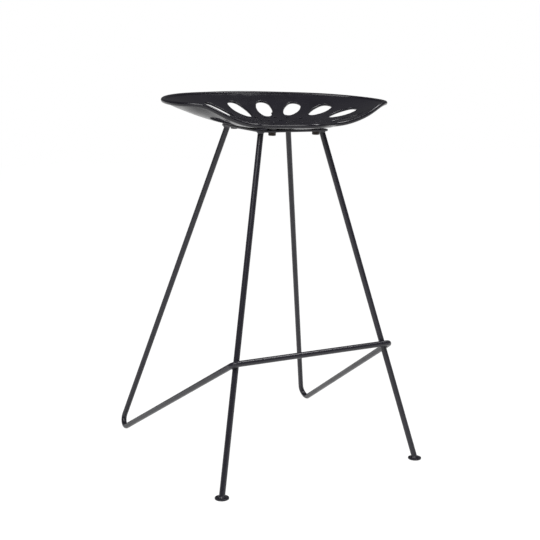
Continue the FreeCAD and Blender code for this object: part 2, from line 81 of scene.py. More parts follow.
# Seat and plate, in their own frame: the plate's underside at its centre, leaning forward
PLATE_CENTRE = np.array((0.0, -34.0, 691.0))
PITCH = math.radians(2.6)
PLATE_HALF = (81.0, 95.0)
PLATE_CORNER = 20.0
PLATE_THICK = 4.0
PLATE_ROUNDING = 0.6
BOLT_AT = (50.5, 83.5)
BOLT_HOLE = 4.5
BOLT_HOLE_ROUNDING = 0.3
SHANK = 4.0
SHANK_TOP = 9.0
HEAD_FLATS = 13.0
HEAD_HEIGHT = 5.5
WASHER = 8.0
WASHER_BORE = 4.5
WASHER_THICK = 1.6
FRONT_TOP = np.array((70.5, -73.5, 0.0))
REAR_TOP = np.array((73.0, 70.5, 0.0))
PAN_THICK = 5.0
PAN_FLOOR = 9.5
BOWL_BACK = 2.0
BOWL_FRONT = 4.0
FRONT_BEGINS, FRONT_RULES = 80.0, 140.0
BEAD = 4.5
BEAD_REACH = 5.2
RIM_ANGLES = (0, 35, 65, 82, 95, 107, 115, 121, 129, 138, 149, 165, 180)
RIM_REACH = (159.0, 172.5, 211.5, 237.0, 245.5, 238.2, 218.7, 195.2, 158.0, 133.5, 133.5, 150.5, 166.0)
RIM_RISE = (65.9, 65.0, 63.2, 60.2, 58.0, 57.0, 53.2, 38.4, 22.0, 17.0, 16.8, 18.8, 20.2)
PETALS = 12
PETAL_SPACING = math.radians(26.0)
PETAL_STRETCH = 1.3
PETAL_START = (0.42, 0.535)
PETAL_END = (0.832, 0.806)
PETAL_INNER = 9.2
PETAL_OUTER = 14.8
PETAL_SIDE = 72.0
PETAL_ROUNDING = 1.5
PERFORATION = 3.5
PERFORATION_ROUNDING = 0.7
PERFORATION_RINGS = 3
PERFORATION_STEP = 0.13
BOSS = 10.0
BOSS_FLARE = 1.0
SKIN_SPACING = 6.0

# Studio, where white is 1: the ceiling in reflections, and the floor's glow, its share that takes shadows and
# what it gives back as light
CEILING = 0.10
FLOOR_GLOW = 0.985
FLOOR_SHADE = 0.16
FLOOR_PALE = 0.80
FLOOR_HALF = 8.0
# Name, place, aim, width and height in metres, and power in watts
LAMPS = (("key_softbox", (-1.5, -1.3, 2.6), (0.0, 0.0, 0.2), (1.8, 1.8), 46.0),
         ("top_softbox", (1.1, -0.5, 2.7), (0.0, 0.0, 0.5), (0.9, 0.9), 26.0))


# Camera

def camera():
    data = bpy.data.cameras.new("camera")
    data.sensor_width = 36.0
    data.lens = data.sensor_width * FOCAL_PIXELS / FRAME_PIXELS
    data.clip_start = 0.05
    data.clip_end = 50.0
    eye = bpy.data.objects.new("camera", data)
    aim = Euler((math.pi / 2 - DOWN, 0.0, -TURN), "XYZ").to_matrix() @ Matrix.Rotation(ROLL, 3, "Z")
    eye.matrix_world = Matrix.Translation(EYE) @ aim.to_4x4()
    bpy.context.scene.collection.objects.link(eye)
    bpy.context.scene.camera = eye


# Mesh helpers: a patch is a pair of points and faces

def unit(vectors):
    vectors = np.asarray(vectors, float)
    return vectors / np.linalg.norm(vectors, axis=-1, keepdims=True)


def from_seat(points):
    """Points of the seat's frame, in the model's frame."""
    x, y, z = np.moveaxis(np.asarray(points, float), -1, 0)
    turned = (x, y * math.cos(PITCH) - z * math.sin(PITCH), y * math.sin(PITCH) + z * math.cos(PITCH))
    return np.stack(turned, axis=-1) + PLATE_CENTRE


def rings_patch(rings, cap_first=False, cap_last=False):
    """Rings of points, each ring closed, joined one to the next by quads."""
    rings = np.asarray(rings, float)
    rows, columns = rings.shape[:2]
    faces = []
    for row in range(rows - 1):
        here, there = row * columns, (row + 1) * columns
        for column in range(columns):
            after = (column + 1) % columns
            faces.append((here + column, here + after, there + after, there + column))
    if cap_first:
        faces.append(tuple(range(columns)))
    if cap_last:
        faces.append(tuple(range((rows - 1) * columns, rows * columns)))
    return rings.reshape(-1, 3), faces


def joined(patches):
    points, faces, start = [], [], 0
    for patch_points, patch_faces in patches:
        points.append(patch_points)
        faces += [tuple(corner + start for corner in face) for face in patch_faces]
        start += len(patch_points)
    return np.concatenate(points), faces


def piece(name, patches, material, node=None, crease=None):
    """A mesh object from patches, welded where their edges meet, that rides on the model's one body."""
    points, faces = joined(patches)
    mesh = bpy.data.meshes.new(name)
    mesh.from_pydata((points * MM).tolist(), [], faces)
    shape = bmesh.new()
    shape.from_mesh(mesh)
    bmesh.ops.remove_doubles(shape, verts=shape.verts, dist=WELD_WITHIN)
    bmesh.ops.dissolve_degenerate(shape, edges=shape.edges, dist=DROP_BELOW)
    bmesh.ops.recalc_face_normals(shape, faces=shape.faces)
    for face in shape.faces:
        face.smooth = True
    shape.to_mesh(mesh)
    shape.free()
    if crease:
        mesh.set_sharp_from_angle(angle=math.radians(crease))
    mesh.materials.append(material)
    obj = bpy.data.objects.new(name, mesh)
    bpy.context.scene.collection.objects.link(obj)
    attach(obj, "root")
    if node:
        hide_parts(node)
    return obj


def inside(points, loop):
    """Which points lie inside a closed loop of the plane."""
    x, y = points[:, 0, None], points[:, 1, None]
    ax, ay = loop[:, 0], loop[:, 1]
    bx, by = np.roll(ax, -1), np.roll(ay, -1)
    crosses = (ay > y) != (by > y)
    rise = np.where(by == ay, 1.0, by - ay)
    return (crosses & (x < ax + (y - ay) * (bx - ax) / rise)).sum(axis=1) % 2 == 1


def fill(outer, holes, spacing=None):
    """Triangles of the plane between an outer loop and the holes, with evenly spread points between them."""
    loops = [outer] + holes
    points = np.concatenate(loops)
    if spacing:
        low, high = outer.min(axis=0), outer.max(axis=0)
        rows = []
        for number, y in enumerate(np.arange(low[1], high[1], spacing * math.sqrt(3) / 2)):
            x = np.arange(low[0] + spacing / 2 * (number % 2), high[0], spacing)
            rows.append(np.column_stack((x, np.full(len(x), y))))
        spread = np.concatenate(rows)
        spread = spread[inside(spread, outer)]
        for hole in holes:
            spread = spread[~inside(spread, hole)]
        nearest = np.min(np.linalg.norm(spread[:, None] - points[None], axis=2), axis=1)
        points = np.concatenate((points, spread[nearest > spacing * 0.6]))
    edges, start = [], 0
    for loop in loops:
        edges += [(start + number, start + (number + 1) % len(loop)) for number in range(len(loop))]
        start += len(loop)
    made = delaunay_2d_cdt([Vector(point) for point in points], edges, [], 0, 1e-5)
    source = [where[0] for where in made[3]]
    triangles = np.array([[source[corner] for corner in face] for face in made[2]])
    middles = points[triangles].mean(axis=1)
    keep = inside(middles, outer)
    for hole in holes:
        keep &= ~inside(middles, hole)
    return points, [tuple(int(corner) for corner in face) for face in triangles[keep]]


def lip_rings(edge, foot, into_edge, into_foot, radius, steps=5, margin=0.5):
    """Rings over a wall between two sharp edges that get this rounding. The into directions lead along the
    upper and the lower skin, away from the wall. The first and last ring lie on the skins."""
    down = unit(foot - edge)
    turns = np.linspace(0, math.pi / 2, steps)
    rings = [edge + into_edge * (radius + margin)]
    rings += [edge + radius * (into_edge * (1 - math.sin(t)) + down * (1 - math.cos(t))) for t in turns]
    rings += [foot + radius * (into_foot * (1 - math.sin(t)) - down * (1 - math.cos(t))) for t in turns[::-1]]
    rings.append(foot + into_foot * (radius + margin))
    return np.array(rings)


def across_loop(loop, normals, outwards):
    """Unit directions square to a loop in its surface, away from the loop's middle or towards it."""
    along = np.roll(loop, -1, axis=0) - np.roll(loop, 1, axis=0)
    side = unit(np.cross(along, normals))
    away = (side * (loop - loop.mean(axis=0))).sum() > 0
    return side if away == outwards else -side


def frames(path):
    """Tangents and two square directions along a path, turned as little as possible."""
    tangents = unit(np.gradient(path, axis=0))
    tangents[0] = unit(path[1] - path[0])
    tangents[-1] = unit(path[-1] - path[-2])
    first = np.cross(tangents[0], (0.0, 0.0, 1.0) if abs(tangents[0][2]) < 0.9 else (0.0, 1.0, 0.0))
    sides = [unit(first)]
    for tangent in tangents[1:]:
        side = sides[-1] - tangent * np.dot(sides[-1], tangent)
        sides.append(unit(side))
    sides = np.array(sides)
    return tangents, sides, np.cross(tangents, sides)


def tube(path, radius, around=36, planes=(None, None)):
    """A round tube along a path. A plane, as a point and its normal, slants the tube's end."""
    path = np.asarray(path, float)
    tangents, sides, ups = frames(path)
    turns = np.arange(around) * 2 * math.pi / around
    radii = np.broadcast_to(radius, (len(path),))[:, None, None]
    ring = np.cos(turns)[None, :, None] * sides[:, None] + np.sin(turns)[None, :, None] * ups[:, None]
    rings = path[:, None] + ring * radii
    for end, plane in zip((0, -1), planes):
        if plane is not None:
            point, normal = plane
            reach = ((point - rings[end]) @ normal) / (tangents[end] @ normal)
            rings[end] += reach[:, None] * tangents[end]
    return rings_patch(rings, True, True)


def lathe(profile, around=48, place=(0.0, 0.0, 0.0), caps=(True, True)):
    """A turned form: pairs of radius and height, round the Z axis through the place."""
    turns = np.arange(around) * 2 * math.pi / around
    rings = [np.column_stack((r * np.cos(turns), r * np.sin(turns), np.full(around, float(z))))
             for r, z in profile]
    return rings_patch(np.array(rings) + place, *caps)


def bent_path(corners, radii, step=math.radians(5)):
    """Straight runs joined by arcs tangent to both."""
    path = [corners[0]]
    for before, corner, after, radius in zip(corners, corners[1:], corners[2:], radii):
        to_before, to_after = unit(before - corner), unit(after - corner)
        half = math.acos(np.dot(to_before, to_after)) / 2
        centre = corner + unit(to_before + to_after) * radius / math.sin(half)
        start = corner + to_before * radius / math.tan(half)
        first, second = unit(start - centre), -to_before
        sweep = math.pi - 2 * half
        for turn in np.linspace(0, sweep, max(3, round(sweep / step))):
            path.append(centre + radius * (first * math.cos(turn) + second * math.sin(turn)))
    path.append(corners[-1])
    return np.array(path)


def mirror(points):
    return np.asarray(points, float) * (-1, 1, 1)


# Materials: black paint over castings and over drawn bar, and dark plated steel

class Nodes:
    """Short names for the nodes that the materials share."""

    def __init__(self, name):
        self.material = bpy.data.materials.new(name)
        self.material.use_nodes = True
        self.tree = self.material.node_tree
        self.shader = self.tree.nodes["Principled BSDF"]
        self.output = self.tree.nodes["Material Output"]
        self.object_place = self.tree.nodes.new("ShaderNodeTexCoord").outputs["Object"]

    def add(self, kind, **values):
        node = self.tree.nodes.new(kind)
        for key, value in values.items():
            setattr(node, key, value)
        return node

    def link(self, start, end):
        self.tree.links.new(start, end)

    def noise(self, scale, detail=3.0, roughness=0.5):
        node = self.add("ShaderNodeTexNoise")
        node.inputs["Scale"].default_value = scale
        node.inputs["Detail"].default_value = detail
        node.inputs["Roughness"].default_value = roughness
        self.link(self.object_place, node.inputs["Vector"])
        return node.outputs["Fac"]

    def spread(self, value, low, high, start=0.3, end=0.7):
        """A value between start and end, carried over to the span from low to high."""
        node = self.add("ShaderNodeMapRange")
        for name, number in (("From Min", start), ("From Max", end), ("To Min", low), ("To Max", high)):
            node.inputs[name].default_value = number
        self.link(value, node.inputs["Value"])
        return node.outputs["Result"]

    def mix(self, share, first, second):
        node = self.add("ShaderNodeMix", data_type="RGBA")
        self.link(share, node.inputs["Factor"])
        for socket, colour in zip((node.inputs[6], node.inputs[7]), (first, second)):
            if isinstance(colour, tuple):
                socket.default_value = (*colour, 1.0)
            else:
                self.link(colour, socket)
        return node.outputs[2]

    def bump(self, height, distance, strength=1.0, below=None):
        node = self.add("ShaderNodeBump")
        node.inputs["Strength"].default_value = strength
        node.inputs["Distance"].default_value = distance
        self.link(height, node.inputs["Height"])
        if below is not None:
            self.link(below, node.inputs["Normal"])
        return node.outputs["Normal"]

    def edges(self, low, high):
        """1 on the sharpest outer edges, 0 on flat and hollow places."""
        return self.spread(self.add("ShaderNodeNewGeometry").outputs["Pointiness"], 0.0, 1.0, low, high)


def paint(name, dark, light, roughness, peel, cast):
    """Satin black paint with orange peel, over a surface that is a little uneven."""
    n = Nodes(name)
    patches = n.spread(n.noise(14.0, 4.0), 0.0, 1.0)
    colour = n.mix(patches, dark, light)
    rubbed = n.add("ShaderNodeMath", operation="MULTIPLY")
    n.link(n.edges(0.53, 0.60), rubbed.inputs[0])
    n.link(n.spread(n.noise(90.0, 5.0), 0.0, 0.5, 0.40, 0.62), rubbed.inputs[1])
    n.link(n.mix(rubbed.outputs[0], colour, (0.060, 0.059, 0.062)), n.shader.inputs["Base Color"])
    n.link(n.spread(n.noise(38.0, 4.0), roughness - 0.05, roughness + 0.07), n.shader.inputs["Roughness"])
    n.shader.inputs["IOR"].default_value = 1.5
    uneven = n.bump(n.noise(60.0, 2.0), 0.00035 * cast)
    n.link(n.bump(n.noise(650.0, 2.0), 0.00006 * peel, 1.0, uneven), n.shader.inputs["Normal"])
    return n.material


def plated_steel(name):
    """Dark oily plating with a fine grain and a few rusty places."""
    n = Nodes(name)
    rusty = n.spread(n.noise(160.0, 5.0), 0.0, 1.0, 0.42, 0.62)
    n.link(n.mix(rusty, (0.022, 0.019, 0.018), (0.045, 0.035, 0.029)), n.shader.inputs["Base Color"])
    n.shader.inputs["Metallic"].default_value = 0.75
    n.link(n.spread(n.noise(300.0, 3.0), 0.38, 0.58), n.shader.inputs["Roughness"])
    n.link(n.bump(n.noise(900.0, 3.0), 0.00005), n.shader.inputs["Normal"])
    return n.material


seat_paint = paint("seat_black", (0.0105, 0.0095, 0.0150), (0.0160, 0.0146, 0.0220), 0.25, 1.0, 1.0)
frame_paint = paint("frame_black", (0.0200, 0.0186, 0.0275), (0.0270, 0.0250, 0.0360), 0.30, 0.4, 0.35)
hardware = plated_steel("dark_plated_steel")
SLOT_PAINT = {"seat_paint": seat_paint, "frame_paint": frame_paint, "hardware": hardware}


# Base of round bar

def plate_plane(point):
    """The plate's underside, as a point and a normal."""
    up = from_seat((0.0, 0.0, 1.0)) - from_seat((0.0, 0.0, 0.0))
    return np.asarray(point, float), up


def weld_collar(point, line, plane, ripples, phase):
    """A rippled ring of weld round a bar, from a plane that the bar meets at this point along this line."""
    around = 96
    turns = np.arange(around) * 2 * math.pi / around
    side = unit(np.cross(line, (0.0, 1.0, 0.0)))
    other = np.cross(line, side)
    ring = np.cos(turns)[:, None] * side + np.sin(turns)[:, None] * other
    wave = np.sin(ripples * turns + phase) * 0.5 + np.sin(5 * turns + 2 * phase) * 0.5
    rings = []
    for height, radius, swell in COLLAR:
        spot = point + ring * (radius + swell * wave)[:, None]
        spot += ((plane[0] - spot) @ plane[1] / (line @ plane[1]))[:, None] * line
        rings.append(spot + line * height)
    return rings_patch(rings, True, True)


def front_legs():
    floor_up = np.array((0.0, 0.0, 1.0))
    for side, flip in (("left", mirror), ("right", lambda points: points)):
        foot, top = flip(FRONT_FOOT), flip(from_seat(FRONT_TOP))
        line = unit(top - foot)
        foot_plane, top_plane = (foot, floor_up), plate_plane(top)
        end = (top - foot) * 0.02
        bar = tube([foot, foot + end, top - end, top], ROD, 40, (foot_plane, top_plane))
        piece("front_leg_" + side + "_bar", [bar], frame_paint, "front_leg_" + side, 40)
        collars = [weld_collar(foot, line, foot_plane, 17, 0.4), weld_collar(top, -line, top_plane, 19, 1.3)]
        piece("front_leg_" + side + "_welds", collars, frame_paint)


def long_bar():
    top = from_seat(REAR_TOP)
    half = [top, FLOOR_CORNER, FOOTREST_CORNER]
    corners = half + [mirror(point) for point in reversed(half)]
    path = bent_path(corners, (FLOOR_BEND, FOOTREST_BEND, FOOTREST_BEND, FLOOR_BEND))
    ends = (plate_plane(top), plate_plane(mirror(top)))
    piece("long_bar", [tube(path, ROD, 40, ends)], frame_paint, "rear_legs_and_footrest", 40)
    collars = []
    for flip in (mirror, lambda points: points):
        point = flip(top)
        collars.append(weld_collar(point, unit(flip(FLOOR_CORNER) - point), plate_plane(point), 18, 2.1))
    piece("rear_leg_welds", collars, frame_paint)
    return path


def footrest_welds(path):
    """Two rippled seams, above and below, where the long bar hugs each front leg."""
    fine = []
    for start, end in zip(path, path[1:]):
        count = max(2, int(np.linalg.norm(end - start) / 0.5))
        fine += [start + (end - start) * share for share in np.arange(count) / count]
    fine = np.array(fine)
    for side, flip in (("left", mirror), ("right", lambda points: points)):
        foot, top = flip(FRONT_FOOT), flip(from_seat(FRONT_TOP))
        line = unit(top - foot)
        along = (fine - foot) @ line
        axis = foot + along[:, None] * line
        gap = np.linalg.norm(fine - axis, axis=1)
        near = (gap < HUG) & (fine[:, 2] > FOOTREST_CORNER[2] * 0.8)
        out = unit(fine[near] - axis[near])
        seams = []
        for lift in (SEAM_LIFT, -SEAM_LIFT):
            route = axis[near] + out * SEAM_FROM_AXIS + line * lift
            share = np.linspace(0, 1, len(route))
            taper = np.minimum(1, np.minimum(share, 1 - share) * 8) ** 0.5
            ripple = 1 + 0.10 * np.sin(np.arange(len(route)) * 2 * math.pi / 4.2)
            seams.append(tube(route, np.maximum(SEAM_RADIUS * taper * ripple, 0.25), 20))
        piece("footrest_welds_" + side, seams, frame_paint)


def rounded_disc(radius, low, high, rounding):
    """A profile for a disc with rounded edges, with a ring close inside each rounding to keep its faces flat."""
    turns = np.linspace(0, math.pi / 2, 6)
    inner = radius - rounding
    rows = [(0.5, low), (inner - 0.3, low)]
    rows += [(inner + rounding * math.sin(t), low + rounding * (1 - math.cos(t))) for t in turns]
    rows += [(inner + rounding * math.cos(t), high - rounding * (1 - math.sin(t))) for t in turns]
    return rows + [(inner - 0.3, high), (0.5, high)]


def feet():
    for side, sign in (("left", -1), ("right", 1)):
        place = (sign * FRONT_FOOT[0], FRONT_FOOT[1], 0.0)
        disc = lathe(rounded_disc(FOOT_RADIUS, 0.0, FOOT_THICK, FOOT_ROUNDING), 72, place)
        piece("foot_" + side, [disc], frame_paint, "front_foot_" + side)


# Mounting plate and hardware

def around_place(place, turns, radius, height):
    """A ring of points round an upright axis. Its radius and its height may change along it."""
    x, y = place[0] + radius * np.cos(turns), place[1] + radius * np.sin(turns)
    return np.column_stack((x, y, np.broadcast_to(height, turns.shape)))


def circle(place, radius, count):
    turns = np.arange(count) * 2 * math.pi / count
    return np.column_stack((place[0] + radius * np.cos(turns), place[1] + radius * np.sin(turns)))


def plate_outline():
    """The rounded rectangle, corner by corner."""
    loop = []
    for number, (sign_x, sign_y) in enumerate(((1, 1), (-1, 1), (-1, -1), (1, -1))):
        centre = (sign_x * (PLATE_HALF[0] - PLATE_CORNER), sign_y * (PLATE_HALF[1] - PLATE_CORNER))
        for turn in np.linspace(number * math.pi / 2, (number + 1) * math.pi / 2, 13):
            loop.append((centre[0] + PLATE_CORNER * math.cos(turn), centre[1] + PLATE_CORNER * math.sin(turn)))
    return np.array(loop)


def bolt_places():
    return [(sign_x * BOLT_AT[0], sign_y * BOLT_AT[1]) for sign_x in (-1, 1) for sign_y in (-1, 1)]


def mounting_plate():
    outer_walls, walls = [], []
    loops = [(plate_outline(), False, PLATE_ROUNDING)]
    loops += [(circle(place, BOLT_HOLE, 40), True, BOLT_HOLE_ROUNDING) for place in bolt_places()]
    for loop, is_hole, rounding in loops:
        edge = np.column_stack((loop, np.full(len(loop), PLATE_THICK)))
        foot = np.column_stack((loop, np.zeros(len(loop))))
        into = across_loop(edge, np.array((0.0, 0.0, 1.0)), is_hole)
        (walls if is_hole else outer_walls).append(lip_rings(edge, foot, into, into, rounding))
    patches = [rings_patch(wall) for wall in outer_walls + walls]
    for row in (0, -1):
        points, faces = fill(outer_walls[0][row][:, :2], [wall[row][:, :2] for wall in walls])
        height = outer_walls[0][row][0, 2]
        patches.append((np.column_stack((points, np.full(len(points), height))), faces))
    patches = [(from_seat(points), faces) for points, faces in patches]
    piece("plate", patches, frame_paint, "mounting_plate", 60)


def hexagon_head(place, top, height, flats):
    """A bolt head below a washer: a hexagon whose outer corners a cone of 30 degrees takes off."""
    around = 96
    turns = np.arange(around) * 2 * math.pi / around
    from_flat = (turns + math.pi / 6) % (math.pi / 3) - math.pi / 6
    reach = flats / 2 / np.cos(from_flat)
    low = top - height
    flat_end = flats / 2 * 0.95
    cone = low + np.maximum(reach - flat_end, 0) * math.tan(math.radians(30))
    rows = ((0.6, low), (flat_end - 0.2, low), (flat_end, low), (reach - 0.10, cone - 0.02), (reach, cone + 0.15),
            (reach, top - 0.4), (reach - 0.25, top - 0.1), (flats / 2 - 0.15, top), (SHANK, top))
    return rings_patch([around_place(place, turns, radius, height) for radius, height in rows], True, True)


def hardware_pieces():
    low = -WASHER_THICK
    shank = ((SHANK - 0.7, low + 0.1), (SHANK, low + 0.2), (SHANK, SHANK_TOP - 0.6), (SHANK - 0.5, SHANK_TOP))
    ring = ((WASHER_BORE, -0.1), (WASHER_BORE + 0.1, 0.0), (WASHER - 0.25, 0.0), (WASHER - 0.08, -0.07),
            (WASHER, -0.25), (WASHER, low + 0.25), (WASHER - 0.08, low + 0.07), (WASHER - 0.25, low),
            (WASHER_BORE + 0.1, low), (WASHER_BORE, low + 0.1), (WASHER_BORE, -0.1))
    bolts, washers = [], []
    for place in bolt_places():
        spot = (place[0], place[1], 0.0)
        bolts.append(hexagon_head(place, low, HEAD_HEIGHT, HEAD_FLATS))
        bolts.append(lathe(shank, 32, spot))
        washers.append(lathe(ring, 64, spot, (False, False)))
    for name, node, patches in (("bolts", "seat_bolts", bolts), ("washers", "bolt_washers", washers)):
        placed = [(from_seat(points), faces) for points, faces in patches]
        piece(name, placed, hardware, node, 25)


# Seat

def periodic_curve(angles, values):
    """The smooth closed cubic through values at angles of half a turn, mirrored for the other half."""
    at = np.array(list(angles) + [360 - angle for angle in angles[-2:0:-1]], float)
    level = np.array(list(values) + list(values[-2:0:-1]), float)
    count = len(at)
    gap = np.diff(np.append(at, at[0] + 360))
    slope = (np.roll(level, -1) - level) / gap
    matrix, right = np.zeros((count, count)), np.zeros(count)
    for here in range(count):
        before, after = (here - 1) % count, (here + 1) % count
        matrix[here, before] += gap[before]
        matrix[here, here] += 2 * (gap[before] + gap[here])
        matrix[here, after] += gap[here]
        right[here] = 6 * (slope[here] - slope[before])
    bend = np.linalg.solve(matrix, right)

    def curve(angle):
        angle = np.asarray(angle, float) % 360
        here = np.clip(np.searchsorted(at, angle, side="right") - 1, 0, count - 1)
        after = (here + 1) % count
        into = angle - at[here]
        left = gap[here] - into
        return ((bend[here] * left ** 3 + bend[after] * into ** 3) / (6 * gap[here])
                + (level[here] / gap[here] - bend[here] * gap[here] / 6) * left
                + (level[after] / gap[here] - bend[after] * gap[here] / 6) * into)
    return curve


rim_reach = periodic_curve(RIM_ANGLES, RIM_REACH)
rim_rise = periodic_curve(RIM_ANGLES, RIM_RISE)


def pan_top(x, y):
    """Height of the pan's upper face: nearly flat at the centre, rising to the rim, latest at the front lip."""
    angle = np.degrees(np.arctan2(x, y)) % 360
    share = np.hypot(x, y) / rim_reach(angle)
    front = np.clip((np.minimum(angle, 360 - angle) - FRONT_BEGINS) / (FRONT_RULES - FRONT_BEGINS), 0, 1)
    front = front * front * (3 - 2 * front)
    power = BOWL_BACK + (BOWL_FRONT - BOWL_BACK) * front
    climb = np.where(share < 1, np.maximum(share, 1e-9) ** power, 1 + power * (share - 1))
    return PAN_FLOOR + (rim_rise(angle) - PAN_FLOOR) * climb


def pan_slopes(x, y, step=0.5):
    return ((pan_top(x + step, y) - pan_top(x - step, y)) / (2 * step),
            (pan_top(x, y + step) - pan_top(x, y - step)) / (2 * step))


def pan_normals(x, y):
    slope_x, slope_y = pan_slopes(x, y)
    return unit(np.stack((-slope_x, -slope_y, np.ones_like(slope_x)), axis=-1))


def pan_bottom(x, y):
    """Height of the lower face, a wall's thickness away."""
    slope_x, slope_y = pan_slopes(x, y)
    return pan_top(x, y) - PAN_THICK * np.sqrt(1 + slope_x ** 2 + slope_y ** 2)


def pan_point(angle, share):
    reach = rim_reach(angle) * share
    x, y = reach * math.sin(math.radians(angle)), reach * math.cos(math.radians(angle))
    return np.array((x, y, float(pan_top(x, y))))


def onto(height, points, up):
    """Points slid along a direction until they lie on a height field."""
    for _ in range(12):
        points = points + up * ((height(points[:, 0], points[:, 1]) - points[:, 2]) * up[2])[:, None]
    return points


def hole_rings(outline, origin, out, up, rounding, steps):
    """Rings down through the pan for a hole whose flat outline is drawn square to up, with X along out."""
    side = np.cross(up, out)
    flat = origin + outline[:, :1] * out + outline[:, 1:] * side
    edge, foot = onto(pan_top, flat, up), onto(pan_bottom, flat, up)
    into_edge = across_loop(edge, pan_normals(edge[:, 0], edge[:, 1]), True)
    into_foot = across_loop(foot, pan_normals(foot[:, 0], foot[:, 1]), True)
    rings = lip_rings(edge, foot, into_edge, into_foot, rounding, steps, rounding * 0.4)
    for row in (0, 1):
        rings[row][:, 2] = pan_top(rings[row][:, 0], rings[row][:, 1])
    for row in (-1, -2):
        rings[row][:, 2] = pan_bottom(rings[row][:, 0], rings[row][:, 1])
    return rings


def petal_rings(number):
    """One petal of the fan: a small arc towards the middle, a larger one outwards, and two long arcs as sides."""
    even = PETAL_SPACING * (number - (PETALS - 1) / 2)
    angle = math.degrees(math.atan2(PETAL_STRETCH * math.sin(even), math.cos(even)))
    sideways = math.sin(math.radians(angle)) ** 2
    start, end = (pan_point(angle, at_back + (at_side - at_back) * sideways)
                  for at_back, at_side in (PETAL_START, PETAL_END))
    out = unit(end - start)
    across = np.array((math.cos(math.radians(angle)), -math.sin(math.radians(angle)), 0.0))
    length = float(np.linalg.norm(end - start))
    inner_x, outer_x = PETAL_INNER, length - PETAL_OUTER
    apart = outer_x - inner_x
    to_inner, to_outer = PETAL_SIDE - PETAL_INNER, PETAL_SIDE - PETAL_OUTER
    side_x = inner_x + (to_inner ** 2 - to_outer ** 2 + apart ** 2) / (2 * apart)
    side_y = math.sqrt(to_inner ** 2 - (side_x - inner_x) ** 2)
    outer_turn = math.atan2(side_y, outer_x - side_x)
    inner_turn = math.atan2(side_y, inner_x - side_x)
    arcs = ((outer_x, 0.0, PETAL_OUTER, -outer_turn, outer_turn, 22),
            (side_x, -side_y, PETAL_SIDE, outer_turn, inner_turn, 12),
            (inner_x, 0.0, PETAL_INNER, inner_turn, 2 * math.pi - inner_turn, 16),
            (side_x, side_y, PETAL_SIDE, -inner_turn, -outer_turn, 12))
    outline = []
    for x, y, radius, first, last, count in arcs:
        for turn in np.linspace(first, last, count, endpoint=False):
            outline.append((x + radius * math.cos(turn), y + radius * math.sin(turn)))
    return hole_rings(np.array(outline), start, out, np.cross(across, out), PETAL_ROUNDING, 6)


def perforation_rings():
    """Rings of 6, 12 and 18 round holes about the pan's middle."""
    made = []
    for ring in range(1, PERFORATION_RINGS + 1):
        count = 6 * ring
        for number in range(count):
            place = pan_point(360 / count * (number + 0.5), PERFORATION_STEP * ring)
            up = pan_normals(place[0], place[1])
            out = unit(np.cross((0.0, 1.0, 0.0), up))
            outline = circle((0.0, 0.0), PERFORATION, 24)
            made.append(hole_rings(outline, place, out, up, PERFORATION_ROUNDING, 4))
    return made


def rim_rings(count=288):
    """Rings along the rim, from the upper skin over the bead and back to the lower skin, with small fillets."""
    angles = np.arange(count) * 360 / count

    def rim_at(angle):
        turn = np.radians(angle)
        return np.column_stack((rim_reach(angle) * np.sin(turn), rim_reach(angle) * np.cos(turn)))

    plan = rim_at(angles)
    along = unit(rim_at(angles + 0.2) - rim_at(angles - 0.2))
    inwards = np.column_stack((along[:, 1], -along[:, 0]))
    inwards *= np.sign(-(inwards * plan).sum(axis=1))[:, None]
    centre = np.column_stack((plan, rim_rise(angles) - PAN_THICK / 2))
    near = plan + inwards * BEAD_REACH
    slope = (pan_top(plan[:, 0], plan[:, 1]) - pan_top(near[:, 0], near[:, 1])) / BEAD_REACH
    near = plan + inwards * (BEAD_REACH / np.sqrt(1 + slope ** 2))[:, None]
    upper = np.column_stack((near, pan_top(near[:, 0], near[:, 1])))
    lower = upper - pan_normals(near[:, 0], near[:, 1]) * PAN_THICK
    middle = (upper + lower) / 2
    reach = np.linalg.norm(middle - centre, axis=1)
    half = PAN_THICK / 2
    fillet = (reach ** 2 + half ** 2 - BEAD ** 2) / (2 * (BEAD - half))
    u = unit(middle - centre)
    v = upper - lower
    v = unit(v - (v * u).sum(axis=1)[:, None] * u)
    turn_end = np.arctan2(reach, half + fillet)
    start = math.pi / 2 - turn_end
    profile = []
    for share in np.linspace(0, 1, 6):
        turn = -math.pi / 2 - turn_end * share
        profile.append((reach + fillet * np.cos(turn), half + fillet + fillet * np.sin(turn)))
    for share in np.linspace(0, 1, 23)[1:-1]:
        turn = start + (2 * math.pi - 2 * start) * share
        profile.append((BEAD * np.cos(turn), BEAD * np.sin(turn)))
    for share in np.linspace(1, 0, 6):
        turn = -math.pi / 2 - turn_end * share
        profile.append((reach + fillet * np.cos(turn), -(half + fillet + fillet * np.sin(turn))))
    return np.array([centre + a[:, None] * u + b[:, None] * v for a, b in profile])


def boss_rings(place):
    """A boss that flares into the pan's underside and stands on the plate."""
    turns = np.arange(64) * 2 * math.pi / 64
    under = float(pan_bottom(np.array(place[0]), np.array(place[1])))
    flare = min(BOSS_FLARE, 0.7 * (under - PLATE_THICK))
    rows = [(BOSS - 0.6, PLATE_THICK), (BOSS - 0.2, PLATE_THICK + 0.1), (BOSS, PLATE_THICK + 0.4)]
    for turn in np.linspace(0, math.pi / 2, 7):
        radius = BOSS + flare * (1 - math.cos(turn))
        x, y = circle(place, radius, 64).T
        rows.append((radius, np.maximum(pan_bottom(x, y) - flare * (1 - math.sin(turn)), PLATE_THICK + 0.5)))
    x, y = circle(place, BOSS * 0.8, 64).T
    rows.append((BOSS * 0.8, pan_bottom(x, y) + PAN_THICK * 0.4))
    return rings_patch([around_place(place, turns, radius, height) for radius, height in rows], True, True)


